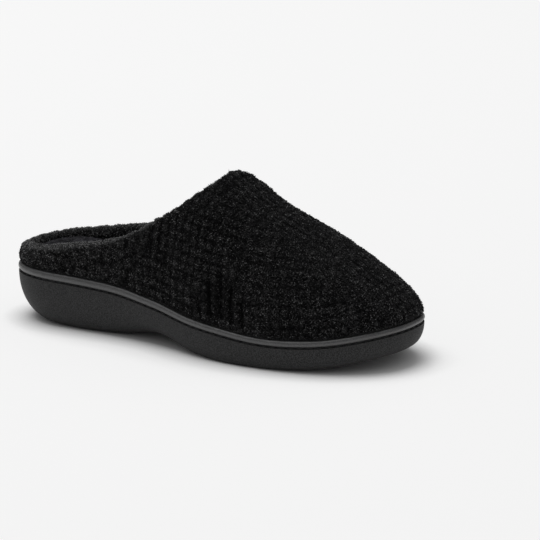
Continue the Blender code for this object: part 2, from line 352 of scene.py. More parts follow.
def noiseOver(place, scale, detail, rough=0.5, warp=0.0):  # about -0.5 to 0.5
    values = {"Vector": place, "Scale": scale, "Detail": detail}
    values |= {"Roughness": rough, "Distortion": warp}
    return place.node("ShaderNodeTexNoise", values=values) - 0.5


def bumped(height, strength, distance):
    values = {"Height": height, "Strength": strength, "Distance": distance}
    return height.node("ShaderNodeBump", values=values)


# Terry: dark looped pile whose colour is painted a shade lighter on the crowns of the tufts and on
# the tips of the loops and darker in the troughs, as painted light and shade, besides tone that
# differs at random
terryLook = {
    "deep": (0.0010, 0.0010, 0.0011),
    "crown": (0.1300, 0.1300, 0.1305),
    "loopDeep": (0.0020, 0.0020, 0.0021),
    "loopTip": (0.2600, 0.2600, 0.2610),
    "curlSize": 0.9,  # mm
    "toneAndPaintedLightShare": 0.7,  # what the shade is made of
    "curlShare": 0.75,
    "fibreShare": 1.5,
    "patchShare": 0.3,
    "fibreScale": 1500,
    "patchScale": 60,
    "shadeFrom": 0.45,
    "shadeTo": 1.42,
    "contrast": 3.4,
    "loopContrast": 3.0,
    "fibreBump": 0.6,
    "bump": 0.9,
    "bumpDepth": 0.0008,
    "sheen": 0.04,
}


def pileFinish(name):
    steady = {
        "Roughness": 0.95,
        "Specular IOR Level": 0.03,
        "Sheen Weight": terryLook["sheen"],
        "Sheen Roughness": 0.55,
        "Sheen Tint": (0.75, 0.75, 0.78, 1),
    }
    material, wire, shader = newFinish(name, steady)
    return material, wire.node("ShaderNodeAttribute", {"attribute_name": "toneAndPaintedLight"}, out=2), shader


def terryFinish():
    look = terryLook
    material, toneAndPaintedLight, shader = pileFinish("terryPile")
    place = placeOn(toneAndPaintedLight)
    cells = {"Vector": place, "Scale": 1000 / look["curlSize"], "Randomness": 1.0}
    curls = 1 - place.node("ShaderNodeTexVoronoi", {"feature": "F1"}, cells)
    fibres = noiseOver(place, look["fibreScale"], 2, rough=0.6, warp=1.2)
    patches = noiseOver(place, look["patchScale"], 2)
    # Painted shade: darker in the waffle's troughs and in the gaps between the curls, lighter on
    # the crowns, following the bump; the fibres and patches are tone that differs at random
    shade = toneAndPaintedLight * look["toneAndPaintedLightShare"] + curls * look["curlShare"]
    shade = shade + fibres * look["fibreShare"] + patches * look["patchShare"]
    span = {"Value": shade, "From Min": look["shadeFrom"], "From Max": look["shadeTo"]}
    tone = place.node("ShaderNodeMapRange", values=span) ** look["contrast"]
    normal = bumped(curls + fibres * look["fibreBump"], look["bump"], look["bumpDepth"])
    connect(shader, {"Base Color": tone.mixed(look["deep"], look["crown"]), "Normal": normal})
    return material


def loopFinish():
    material, toneAndPaintedLight, shader = pileFinish("terryLoops")
    tone = toneAndPaintedLight ** terryLook["loopContrast"]
    connect(shader, {"Base Color": tone.mixed(terryLook["loopDeep"], terryLook["loopTip"])})
    return material


# The padded upper
upper = {
    "wall": 4.0,
    "collarWall": 13.0,
    "throatWall": 10.0,
    "heelCollarHeight": 46.0,
    "throatShare": 0.565,
    "wallEase": (0.35, 0.85),  # where the edge's wall passes from one to the other
    "rimLap": 2.2,
    "lapTurn": 0.4,  # share of the lap at which the cloth turns under
    "lapEnd": 0.3,  # how far up the face the lap's padding reaches
    "tuckRound": 1.2,
    # share of the way from the heel's collar to the throat, rise
    "collar": [
        (0.00, 0.00),
        (0.20, 0.055),
        (0.40, 0.16),
        (0.55, 0.25),
        (0.70, 0.43),
        (0.85, 0.685),
        (0.93, 0.845),
        (1.00, 1.00),
    ],
    "vampColumns": 508,
    "heelColumns": 320,
    "vampRows": (122, 14, 38),  # outer face, padded edge, lining
    "heelRows": (62, 26, 36),
    "seamShare": 0.40,  # where the side seams stand, from the heel
}
collarRise = smoothCurve(upper["collar"], 1)
upperInset = last["rimWidth"] + last["fitGap"]
domeInset = upperInset - upper["rimLap"]
domeLength = last["soleLength"] - 2 * domeInset


def domeFoot(share):
    return rimTop(share) + last["fitGap"] + upper["tuckRound"]


def domeRidge(share):
    ends = roundedEnds(share, last["toeDomeEnd"], last["heelDomeEnd"], last["domePower"])
    return (last["instepHeight"] * ridgeShare(share) - domeFoot(share)) * ends


def domeAt(sideways, distance):
    share = np.clip((distance - domeInset) / domeLength, 0, 1)
    offset = sideways - middleAt(distance)
    half = np.maximum(halfWidth(share, np.sign(offset), domeInset), 1e-6)
    out = np.clip(np.abs(offset) / half, 0, 1)
    return domeFoot(share) + domeRidge(share) * quarterArch(out, last["domePower"])


def collarWall(way):
    growth = upper["throatWall"] - upper["collarWall"]
    return upper["collarWall"] + growth * smoothStep(way, *upper["wallEase"])


def collarEdge(turn):
    power, length = last["domePower"], last["soleLength"]
    throat = upper["throatShare"] * length
    top = upper["heelCollarHeight"] - upper["collarWall"] / 2
    full = last["instepHeight"] * ridgeShare(0) - domeFoot(0)
    level = (top - domeFoot(0)) / full
    back = domeInset + last["heelDomeEnd"] * length * (1 - quarterArch(level, power))
    way = 1 - (1 - shareAt(turn)) ** (length / (throat - back))
    distance = back + (throat - back) * way
    share = (distance - domeInset) / domeLength
    height = top + (domeAt(middleAt(throat), throat) - top) * collarRise(way)
    reach = np.clip((height - domeFoot(share)) / domeRidge(share), 0, 1)
    side = sideAt(turn)
    out = side * quarterArch(reach, power) * halfWidth(share, side, domeInset)
    return middleAt(distance) + out, distance, way


def upperFace(turn, rows):
    start, edge = outlineAt(turn, domeInset), collarEdge(turn)
    level = np.linspace(0, 1, rows)[:, None]
    reach = 1 - np.cos(level * math.pi / 2)
    sideways = start[0] + (edge[0] - start[0]) * reach
    distance = start[1] + (edge[1] - start[1]) * reach
    points = np.stack([sideways, distance, domeAt(sideways, distance)], -1)
    low = upper["wall"] + upper["rimLap"] * np.clip(1 - level / upper["lapEnd"], 0, 1)
    walls = low + (collarWall(edge[2]) - low) * smoothStep(level, upper["lapEnd"], 0.9)
    return points, walls


def upperSection(turn, rows, closed):
    outerRows, edgeRows, liningRows = rows
    foot = rimTop(shareAt(turn)) - last["rimHeight"] + last["fitGap"]
    rim = rimTop(shareAt(turn)) + last["fitGap"]
    outer, _ = upperFace(turn, outerRows)
    innerFrom, walls = upperFace(turn, liningRows)
    inner = innerFrom - gridNormals(innerFrom, closed) * walls[:, :, None]
    normal = gridNormals(outer, closed)[-1]
    upWall = outer[-1] - outer[-2]
    upWall -= normal * (upWall * normal).sum(1, keepdims=True)
    upWall /= np.linalg.norm(upWall, axis=1, keepdims=True)
    centre, radius = (outer[-1] + inner[-1]) / 2, walls[-1][:, None] / 2
    angles = math.pi * np.arange(1, edgeRows + 1) / (edgeRows + 1)
    edge = [centre + (normal * math.cos(a) + upWall * math.sin(a)) * radius for a in angles]
    turnUnder = domeInset + upper["rimLap"] * upper["lapTurn"]
    below = [(upperInset, foot), (upperInset, rim), (turnUnder, rim)]
    below = [ringAt(turn, inset, height) for inset, height in below]
    close = ringAt(turn, upperInset + upper["wall"], foot)
    return np.array([*below, *outer, *edge, *inner[::-1], close])


belowRows = 3  # rows of a section before its outer face


# The waffle of the terry: on the sides its columns stand upright and its rows run level,
# and over the top it follows the ridge
pile = {
    "pitch": 5.8,
    "tuft": 1.35,  # height of a tuft on the sides, mm
    "topTuft": 1.6,  # and over the top
    "sink": 0.45,  # how far the cloth under the loops lies below the padded solid's face
    "strong": 0.73,  # how far the squares stand out
    "calmFrom": 150.0,  # the waffle is fainter from here to the toe
    "calmTo": 205.0,
    "calm": 0.36,
    "curl": 0.45,
    "curlSize": 1.9,
    "popcornSize": 5.4,  # lumps behind the side seam
    "popcorn": 0.75,  # how much they replace the squares there
    "popcornFrom": 8,
    "lump": 0.3,
    "lumpSize": 3.1,
    "middling": 0.62,  # what the squares fade to
    "tuftPower": 0.6,
    "tuftEven": 0.72,  # of a tuft's height, and what varies
    "tuftVaried": 0.28,
    "wander": 1.0,  # how far the rows stray
    "wanderSizes": (17, 19),
    "seamDip": 0.7,
    "seamWide": 1.3,
    "collarSeam": 9.0,  # stitched line below the padded edge
    "collarDip": 0.45,
    "topBand": (13.0, 25.0),  # how far the rows over the top reach, mm either side of the ridge
    "topFrom": (118.0, 138.0),  # and where they begin
    "crestHighlight": 0.42,  # painted highlight: how much paler the pile is painted along the padded edge's crest
    "crestHighlightFrom": (0.05, 0.25),  # over the edge, from its outer to its inner side
    "crestHighlightTo": (0.45, 0.75),
    "footRows": (-2, 5),  # where the relief starts at the sole
    "liningRows": (3, 14),  # and where it calms on the lining
    "liningCalm": 0.55,
    "plain": 0.75,  # tone of the hidden rows
    # level up the face, distance of the side seam from the heel
    "seam": [(0.00, 91.5), (0.35, 96.0), (0.60, 101.0), (0.75, 110.0), (1.00, 111.5)],
    # creases: side, distance at the foot and at the top, levels, depth, width
    "creases": [
        (-1, 152, 149, 0.04, 0.30, 1.0, 1.3),
        (-1, 160, 157, 0.04, 0.42, 1.5, 1.4),
        (-1, 167, 165, 0.05, 0.52, 1.7, 1.5),
        (-1, 174, 172, 0.03, 0.44, 1.5, 1.3),
        (-1, 181, 180, 0.03, 0.30, 1.2, 1.3),
        (-1, 213, 208, 0.02, 0.22, 0.6, 1.7),
        (1, 158, 155, 0.04, 0.40, 0.8, 1.6),
        (1, 166, 164, 0.04, 0.46, 0.9, 1.7),
        (1, 175, 173, 0.03, 0.35, 0.7, 1.5),
        (1, 210, 206, 0.02, 0.24, 0.6, 1.7),
    ],
}
seamLine = smoothCurve(pile["seam"], 1)

# The loops that stand out of the pile, in mm
loop = {
    "count": 9400,
    "span": 1.0,
    "height": 0.65,
    "thick": 0.31,
    "sunk": 0.2,
    "lean": 1.2,
    "lengths": (0.35, 0.3),  # the least share, and what is added at random
    "heights": (0.6, 0.8),
    "shades": (0.05, 0.8, 0.7),  # least, by the tuft's tone with its painted shade, at random
    # painted shade: the loops' ends, where they go into the pile, are darker
    "feet": 0.35,
    "bends": (0, 60, 120, 180),  # degrees along the loop, and around its yarn
    "corners": (90, 210, 330),
    "liningRows": 12,
}


def outlineRun():  # length along the outline from the toe, by turn, for each side
    turn = np.linspace(0, math.pi, 1500)
    runs = {}
    for side in (-1, 1):
        run = runAlong(*outlineAt(turn if side < 0 else 2 * math.pi - turn, domeInset))
        cells = round(run[-1] / pile["pitch"])
        runs[side] = (turn, run * cells * pile["pitch"] / run[-1])
    return runs


runs = outlineRun()


# Where the ray from the foot's axis through a point meets the outline,
# and how near the point is to it
def rayAt(sideways, distance):
    share = np.clip((distance - domeInset) / domeLength, 0, 1)
    offset = sideways - middleAt(distance)
    side = np.where(offset < 0, -1.0, 1.0)
    power = last["endPower"]
    across = np.abs(offset) / fullHalf(share, side, domeInset)
    beyondToe = np.clip((share - (1 - last["toeEnd"])) / last["toeEnd"], 0, 1)
    beyondHeel = np.clip((last["heelEnd"] - share) / last["heelEnd"], 0, 1)
    beyond = np.maximum(beyondToe, beyondHeel)
    near = np.maximum((beyond**power + across**power) ** (1 / power), 1e-6)
    met = np.where(beyondToe > 0, 1 - last["toeEnd"] * (1 - beyondToe / near), share)
    met = np.where(beyondHeel > 0, last["heelEnd"] * (1 - beyondHeel / near), met)
    return np.clip(met, 0, 1), side, np.clip(near, 0, 1)


climbSteps = 180, 120  # around the outline, and up the face


def climbTable():  # length up the face from the rim, by the ray's turn and its nearness
    turn = np.linspace(0, math.pi, climbSteps[0] + 1)
    near = 1 - np.linspace(0, 1, climbSteps[1] + 1) ** 2
    tables = {}
    for side in (-1, 1):
        x, y = outlineAt(turn if side < 0 else 2 * math.pi - turn, domeInset)
        axisShare = np.clip((y - domeInset) / domeLength, last["heelEnd"], 1 - last["toeEnd"])
        axisY = domeInset + domeLength * axisShare
        axisX = middleAt(axisY)
        px = axisX[:, None] + (x - axisX)[:, None] * near
        py = axisY[:, None] + (y - axisY)[:, None] * near
        tables[side] = runAlong(px, py, domeAt(px, py))
    return tables


climbs = climbTable()


def tableValue(table, row, column):
    rows, columns = table.shape
    row, column = np.clip(row, 0, rows - 1.001), np.clip(column, 0, columns - 1.001)
    i, j = row.astype(int), column.astype(int)
    s, t = row - i, column - j
    low = table[i, j] * (1 - t) + table[i, j + 1] * t
    return low * (1 - s) + (table[i + 1, j] * (1 - t) + table[i + 1, j + 1] * t) * s


# Run and climb of the cloth on the sides, and run and way across of the cloth over the ridge
def clothPlaces(points):
    met, side, near = rayAt(points[..., 0], points[..., 1])
    turn = np.arccos(np.clip(2 * met - 1, -1, 1))
    run = np.where(side < 0, np.interp(turn, *runs[-1]), -np.interp(turn, *runs[1]))
    at = turn / math.pi * climbSteps[0], np.sqrt(1 - near) * climbSteps[1]
    climb = np.where(side < 0, tableValue(climbs[-1], *at), tableValue(climbs[1], *at))
    ridgeY = last["soleLength"] - domeInset - domeLength * np.linspace(0, 1, 3000) ** 2
    ridgeRun = runAlong(ridgeY, domeAt(middleAt(ridgeY), ridgeY))
    topRun = np.interp(-points[..., 1], -ridgeY, ridgeRun)
    return run, climb, topRun, points[..., 0] - middleAt(points[..., 1])


def waffle(run, climb, seed):  # 0 in the troughs, 1 on the tufts
    pitch = pile["pitch"]
    wide, high = pile["wanderSizes"]
    a = (run + pile["wander"] * noiseAt(run, climb, wide, seed)) / pitch
    b = (climb + pile["wander"] * noiseAt(run, climb, high, seed + 1)) / pitch
    tuft = lattice(np.floor(a).astype(int), np.floor(b).astype(int), seed + 2)
    square = np.abs(np.sin(math.pi * a) * np.sin(math.pi * b)) ** pile["tuftPower"]
    return square * (pile["tuftEven"] + pile["tuftVaried"] * tuft)


# The pile's height in mm, and its tone from 0 in the troughs to 1 on the tufts: painted shade that
# follows the height, with tone that differs at random from tuft to tuft
def reliefAt(run, climb, topRun, across, top, behind, strong):
    def blended(shape, size, seed):
        sides, over = shape(run, climb, size, seed), shape(topRun, across, size, seed + 2)
        return sides * (1 - top) + over * top

    tufts = waffle(run, climb, 3) * (1 - top) + waffle(topRun, across, 11) * top
    tufts += (curlsAt(run, climb, pile["popcornSize"], 31) - tufts) * behind * pile["popcorn"]
    tufts = pile["middling"] + (tufts - pile["middling"]) * strong
    curls = blended(curlsAt, pile["curlSize"], 5)
    lumps = blended(noiseAt, pile["lumpSize"], 21)
    size = pile["tuft"] + (pile["topTuft"] - pile["tuft"]) * top
    height = size * (tufts - 0.55) + pile["curl"] * (curls - 0.5) + pile["lump"] * lumps
    return height, np.clip(0.65 * tufts + 0.25 * curls + 0.08 + 0.1 * lumps, 0, 1)


def dipAt(away, wide):  # 1 in the middle of a trough
    return np.exp(-((away / wide) ** 2))


def creasesAt(points, level, side):  # depth of the soft troughs by the sole
    depth = np.zeros(points.shape[:2])
    for where, low, high, start, end, deep, wide in pile["creases"]:
        line = low + (high - low) * np.clip((level - start) / (end - start), 0, 1)
        along = smoothStep(level, start - 0.03, start + 0.06)
        along = along * (1 - smoothStep(level, end - 0.15, end)) * (side == where)
        depth += deep * dipAt(points[..., 1] - line, wide) * along
    return depth


def triangles(faces):
    return sum(len(face) - 2 for face in faces)


def repeated(faces, size, count):  # the faces of many like pieces, each of that many points
    bases = range(0, size * count, size)
    return [tuple(base + v for v in face) for base in bases for face in faces]


def makeLoops(name, cloth, normals, tone, finish, seed):
    rng = np.random.default_rng(seed)
    count, bends, corners = loop["count"], loop["bends"], loop["corners"]
    up, on = cloth[1:, :-1] - cloth[:-1, :-1], cloth[:-1, 1:] - cloth[:-1, :-1]
    area = np.cumsum(np.linalg.norm(np.cross(up, on), axis=2).ravel())
    i, j = np.divmod(np.searchsorted(area, rng.random(count) * area[-1]), up.shape[1])
    s, t, spin, longer, higher, leaning, lighter = rng.random((7, count, 1))
    foot, normal = cloth[i, j] + up[i, j] * s + on[i, j] * t, normals[i, j]
    first = on[i, j] / np.linalg.norm(on[i, j], axis=1, keepdims=True)
    second = np.cross(normal, first)
    ahead = first * np.cos(2 * math.pi * spin) + second * np.sin(2 * math.pi * spin)
    aside = np.cross(normal, ahead)
    rise = loop["height"] * (loop["heights"][0] + loop["heights"][1] * higher)
    reach = loop["span"] * (loop["lengths"][0] + loop["lengths"][1] * longer)
    rings = []
    for angle in np.radians(bends):
        centre = foot - normal * loop["sunk"] - ahead * (math.cos(angle) * reach)
        centre += (normal + aside * (leaning - 0.5) * loop["lean"]) * rise * math.sin(angle)
        radial = normal * math.sin(angle) - ahead * math.cos(angle)
        for turn in np.radians(corners):
            out = aside * math.cos(turn) + radial * math.sin(turn)
            rings.append(centre + out * loop["thick"] / 2)
    points = np.stack(rings, 1)
    around, size = len(corners), len(rings)
    faces = [tuple(range(around))[::-1], tuple(range(size - around, size))]
    for low in range(0, size - around, around):
        for m in range(around):
            n = (m + 1) % around
            faces.append((low + m, low + n, low + around + n, low + around + m))
    every = repeated(faces, size, count)
    least, byTuft, varied = loop["shades"]
    shade = np.clip(least + byTuft * tone[i, j][:, None] + varied * (lighter - 0.5), 0.02, 1)
    # Painted shade at the loops' feet, where they sink into the pile
    shade = shade * np.repeat((loop["feet"], 1.0, 1.0, loop["feet"]), around)
    addPiece(name, points.reshape(-1, 3), every, finish, shade)
    print(name, "has", triangles(faces) * count, "triangles")


def makeTerry(name, turns, rows, finish):
    step, spare = turns[1] - turns[0], 2  # spare columns, for the normals at the side seams
    before = turns[0] - step * np.arange(spare, 0, -1)
    after = turns[-1] + step * np.arange(1, spare + 1)
    turns = np.concatenate([before, turns, after])
    section = upperSection(turns, rows, False)
    outerRows, edgeRows, _ = rows
    outer = section[belowRows : belowRows + outerRows]
    run, climb, topRun, across = clothPlaces(outer)
    top = 1 - smoothStep(np.abs(across), *pile["topBand"])
    top = top * smoothStep(outer[..., 1], *pile["topFrom"])
    # The padded edge and the lining run on from the outer face
    beyond = section[belowRows + outerRows - 1 : -1]
    further = np.cumsum(np.linalg.norm(np.diff(beyond, axis=0), axis=2), axis=0)
    toCollar = np.cumsum(np.linalg.norm(np.diff(outer, axis=0), axis=2)[::-1], axis=0)[::-1]
    toCollar = np.concatenate([toCollar, np.zeros((1 + len(further), len(turns)))])

    def heldOn(values):  # as on the outer face's last row
        return np.concatenate([values, np.repeat(values[-1:], len(further), 0)])

    run, across, top = heldOn(run), heldOn(across), heldOn(top)
    climb = np.concatenate([climb, climb[-1] + further])
    topRun = np.concatenate([topRun, topRun[-1] - further])
    row = np.arange(len(climb))[:, None]
    onOuter = row < outerRows
    cloth = section[belowRows:-1]
    toSeam = cloth[..., 1] - seamLine(np.clip(row / (outerRows - 1), 0, 1))
    behind = smoothStep(-toSeam, 0, pile["popcornFrom"])
    ahead = smoothStep(cloth[..., 1], pile["calmFrom"], pile["calmTo"])
    strong = pile["strong"] - pile["calm"] * ahead * (1 - 0.7 * top)
    height, tone = reliefAt(run, climb, topRun, across, top, behind, strong)
    collarSeam = dipAt(toCollar - pile["collarSeam"], pile["seamWide"]) * onOuter
    sideSeam = dipAt(toSeam, pile["seamWide"]) * onOuter
    edgeEnd = outerRows + edgeRows
    lined = 1 - pile["liningCalm"] * smoothStep(row - edgeEnd, *pile["liningRows"])
    fade = np.where(onOuter, smoothStep(row, *pile["footRows"]), lined)
    height = height * (1 - 0.4 * collarSeam) - pile["collarDip"] * collarSeam - pile["sink"]
    height = height * fade * (1 - 0.5 * sideSeam)
    level = np.where(onOuter, row / (outerRows - 1), 2.0)
    troughs = creasesAt(cloth, level, sideAt(turns)[None, :])
    height -= pile["seamDip"] * sideSeam * fade + troughs
    height *= 1 - smoothStep(row, len(climb) - 8, len(climb) - 2)
    cloth = cloth + gridNormals(cloth, False) * height[:, :, None]
    # Painted shade: the tone is darker in the troughs of the seams and of the creases
    tone = tone * (1 - 0.5 * sideSeam) * (1 - 0.25 * collarSeam)
    tone = tone * (1 - 0.5 * np.clip(troughs, 0, 1))
    # Painted highlight: the tone is paler along the crest of the padded edge, where the pile
    # catches the light
    overEdge = (row - outerRows) / edgeRows
    crestHighlightMask = smoothStep(overEdge, *pile["crestHighlightFrom"]) * (1 - smoothStep(overEdge, *pile["crestHighlightTo"]))
    tone = tone + pile["crestHighlight"] * crestHighlightMask
    trim = slice(spare, -spare)
    cloth, tone, section = cloth[:, trim], tone[:, trim], section[:, trim]
    points = np.concatenate([section[:belowRows], cloth, section[-1:]])
    plain = np.full((1, cloth.shape[1]), pile["plain"])
    toneAndPaintedLight = np.concatenate([np.repeat(plain, belowRows, 0), tone, plain])
    count, width = points.shape[:2]
    faces = gridFaces(count, width, True, False)
    faces.append([k * width for k in range(count)])
    faces.append([k * width + width - 1 for k in range(count)][::-1])
    piece = addPiece(name, points.reshape(-1, 3), faces, finish, toneAndPaintedLight)
    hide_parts("upper")
    print(name, "has", triangles(faces), "triangles")
    shown = slice(0, edgeEnd + loop["liningRows"])
    return cloth[shown], gridNormals(cloth, False)[shown], tone[shown]


terry, loops = terryFinish(), loopFinish()
seamTurn = math.acos(2 * upper["seamShare"] - 1)
vampTurns = np.linspace(-seamTurn, seamTurn, upper["vampColumns"])
heelTurns = np.linspace(seamTurn, 2 * math.pi - seamTurn, upper["heelColumns"])
vampCloth = makeTerry("vampTerry", vampTurns, upper["vampRows"], terry)
heelCloth = makeTerry("heelTerry", heelTurns, upper["heelRows"], terry)
half = upper["vampColumns"] // 2
makeLoops("vampLoopsMedial", *[part[:, : half + 1] for part in vampCloth], loops, 41)
makeLoops("vampLoopsLateral", *[part[:, half:] for part in vampCloth], loops, 42)
makeLoops("heelLoops", *heelCloth, loops, 43)


# The sole's one moulding
sole = {
    "columns": 480,
    # how far the tread lies inside the rim: heel, side, waist, toe, and their shares by length
    "tucks": (19.0, 9.0, 18.0, 8.0),
    "tuckShares": [
        (0.00, 1.0, 0.0, 0.0, 0.0),
        (0.06, 0.6, 0.4, 0.0, 0.0),
        (0.16, 0.1, 1.0, 0.0, 0.0),
        (0.28, 0.0, 0.9, 0.2, 0.0),
        (0.40, 0.0, 0.2, 0.8, 0.0),
        (0.52, 0.0, 0.6, 0.3, 0.0),
        (0.66, 0.0, 0.55, 0.0, 0.0),
        (0.84, 0.0, 0.5, 0.0, 0.2),
        (1.00, 0.0, 0.0, 0.0, 1.0),
    ],
    "wallPower": 2.1,
    "wallRows": 22,
    "grooveDrop": 3.4,
    "heelDrop": 1.0,  # and so much more at the heel
    "grooveWidth": 1.1,
    "grooveDepth": 1.5,
    "groovePower": 0.6,
    "grooveRows": 7,
    "lipWide": 1.7,  # the rolled lip's radius, and the upright one as a share of the drop
    "lipHigh": 0.52,
    "lipCentre": 1.5,  # inside the outline
    "lipSweep": (-62, 90),  # degrees
    "lipRows": 11,
    "treadDepth": 1.4,
    "treadWidth": 2.2,
    "treadPitch": 9.0,
    "treadMargin": 5.0,
    "treadZones": [(0.10, 0.27), (0.58, 0.88)],
    "sharpFrom": 38,  # degrees between faces
    # colour, roughness, specular level, grain
    "wall": ((0.0340, 0.0340, 0.0344), 0.62, 0.14, 8.0),
    # The lip is smoother rubber, and its colour is painted lighter than the wall's, a painted
    # highlight where it catches the light from above
    "lip": ((0.0780, 0.0780, 0.0785), 0.40, 0.5, 2.5),
    "stippleScale": 1700,
    "stippleDepth": 0.0002,
    "cloudScale": 45,
    "cloudTone": 0.3,
    "cloudRough": 0.12,
}
tuckWays = [smoothCurve(sole["tuckShares"], column) for column in (1, 2, 3, 4)]


def tuckAt(share):
    return sum(size * way(share) for size, way in zip(sole["tucks"], tuckWays))


def rubberFinish(name, colour, roughness, specular, grain):
    material, wire, shader = newFinish(name, {"Specular IOR Level": specular})
    place = placeOn(wire)
    stipple = noiseOver(place, sole["stippleScale"], 2)
    clouds = noiseOver(place, sole["cloudScale"], 3)
    tone = stipple * grain + clouds * sole["cloudTone"] + 0.5
    normal = bumped(stipple, 0.5, sole["stippleDepth"])
    darker, lighter = [tuple(part * k for part in colour) for k in (0.6, 1.4)]
    rough = clouds * sole["cloudRough"] + roughness
    colour = tone.mixed(darker, lighter)
    connect(shader, {"Base Color": colour, "Roughness": rough, "Normal": normal})
    return material


def grooveDrop(share):
    return sole["grooveDrop"] + sole["heelDrop"] * rimWay(share)


def soleRings(turn):
    share = shareAt(turn)
    top, low = rimTop(share), treadAt(share)
    grooveTop = top - grooveDrop(share)
    grooveLow = grooveTop - sole["grooveWidth"]
    rings = []

    def ring(inset, height):
        rings.append(ringAt(turn, inset, height))

    power = 2 / sole["wallPower"]
    for angle in np.linspace(0, math.pi / 2, sole["wallRows"]):
        inset = tuckAt(share) * (1 - math.sin(angle) ** power)
        ring(inset, low + (grooveLow - low) * (1 - max(math.cos(angle), 0.0) ** power))
    for angle in np.linspace(0, math.pi, sole["grooveRows"] + 2)[1:-1]:
        inset = sole["grooveDepth"] * math.sin(angle) ** sole["groovePower"]
        ring(inset, grooveLow + sole["grooveWidth"] * (1 - math.cos(angle)) / 2)
    below = len(rings)
    for angle in np.radians(np.linspace(*sole["lipSweep"], sole["lipRows"])):
        inset = sole["lipCentre"] - sole["lipWide"] * math.cos(angle)
        ring(inset, top - sole["lipHigh"] * grooveDrop(share) * (1 - math.sin(angle)))
    ring(last["rimWidth"], top)
    ring(last["rimWidth"], top - last["rimHeight"])
    return rings, below


def spannedFaces(base, count, flip):  # across a ring, from its lateral to its medial side
    half = count // 2
    faces = [(base, base + count - 1, base + 1)]
    for i in range(1, half - 1):
        faces.append((base + i, base + count - i, base + count - i - 1, base + i + 1))
    faces.append((base + half - 1, base + half + 1, base + half))
    return [face[::-1] for face in faces] if flip else faces


def closedFaces(rows, count):  # rings from the bottom up, closed at both ends
    ends = spannedFaces(0, count, True) + spannedFaces((rows - 1) * count, count, False)
    return gridFaces(rows, count, False, True) + ends


def channelBars():  # what the tread's channels are cut with
    points, faces = [], []
    box = [(0, 1, 2, 3), (7, 6, 5, 4), (0, 4, 5, 1), (1, 5, 6, 2), (2, 6, 7, 3), (3, 7, 4, 0)]
    for start, end in sole["treadZones"]:
        for k in range(int((end - start) * last["soleLength"] / sole["treadPitch"]) + 1):
            share = start + k * sole["treadPitch"] / last["soleLength"]
            distance = share * last["soleLength"]
            middle, edge = float(middleAt(distance)), tuckAt(share) + sole["treadMargin"]
            left, right = [middle + side * float(halfWidth(share, side) - edge) for side in (-1, 1)]
            base, near = len(points), sole["treadWidth"] / 2
            for height in (-sole["treadDepth"], float(treadAt(share)) + sole["treadDepth"]):
                for x, y in ((left, -near), (right, -near), (right, near), (left, near)):
                    points.append((x, distance + y, height))
            faces += [[base + i for i in face] for face in box]
    return placed("channelBars", newMesh("channelBars", points, faces))


def makeSole():
    wall = rubberFinish("soleWall", *sole["wall"])
    lip = rubberFinish("soleLip", *sole["lip"])
    count = sole["columns"]
    rings, below = soleRings(np.arange(count) * 2 * math.pi / count)
    faces = closedFaces(len(rings), count)
    lipFrom, lipTo = (below - 1) * count, (len(rings) - 1) * count
    piece = addPiece("soleMoulding", np.concatenate(rings), faces, wall)
    piece.data.materials.append(lip)
    index = np.zeros(len(faces), int)
    index[lipFrom:lipTo] = 1
    piece.data.polygons.foreach_set("material_index", index)
    bars = channelBars()
    cut = piece.modifiers.new("tread", "BOOLEAN")
    cut.operation, cut.solver, cut.object = "DIFFERENCE", "EXACT", bars
    carved = piece.evaluated_get(bpy.context.evaluated_depsgraph_get())
    shaped = bpy.data.meshes.new_from_object(carved)
    piece.modifiers.clear()
    piece.data = shaped
    bpy.data.objects.remove(bars)
    shaped.shade_smooth()
    shaped.set_sharp_from_angle(angle=math.radians(sole["sharpFrom"]))
    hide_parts("outsole")
    print("soleMoulding has", triangles([face.vertices for face in shaped.polygons]), "triangles")


makeSole()


# The stitches that lie in the sole's groove, in mm
stitch = {
    "pitch": 5.5,
    "length": 4.0,
    "thick": 0.6,
    "inset": 0.75,
    "sides": 8,
    "stations": 9,
    "colour": (0.022, 0.022, 0.023),
}


def makeStitches():
    turn = np.linspace(0, 2 * math.pi, 4001)
    run = runAlong(*outlineAt(turn, stitch["inset"]))
    count = round(run[-1] / stitch["pitch"])
    stations, sides = np.linspace(-1, 1, stitch["stations"]), stitch["sides"]
    middles = (np.arange(count)[:, None] + 0.5) * run[-1] / count
    at = np.interp(middles + stations * stitch["length"] / 2, run, turn)
    centre = outlineAt(at, stitch["inset"])
    height = rimTop(shareAt(at)) - grooveDrop(shareAt(at)) - sole["grooveWidth"] / 2
    out = outwardAt(at.ravel()).reshape(*at.shape, 2)
    radius = stitch["thick"] / 2 * np.sqrt(1 - 0.98 * np.abs(stations) ** 4)
    points = []
    for angle in np.arange(sides) * 2 * math.pi / sides:
        level, rise = radius * math.cos(angle), radius * math.sin(angle)
        sideways, distance = [centre[axis] + out[..., axis] * level for axis in (0, 1)]
        points.append(np.stack([sideways, distance, height + rise], -1))
    points = np.stack(points, 2)
    size = len(stations) * sides
    one = gridFaces(len(stations), sides, False, True)
    one += [tuple(range(sides)), tuple(range(size - sides, size))[::-1]]
    faces = repeated(one, size, count)
    thread = newFinish("stitchThread", {"Roughness": 0.7, "Base Color": (*stitch["colour"], 1)})[0]
    addPiece("grooveStitches", points.reshape(-1, 3), faces, thread)
    print("grooveStitches has", triangles(faces), "triangles")


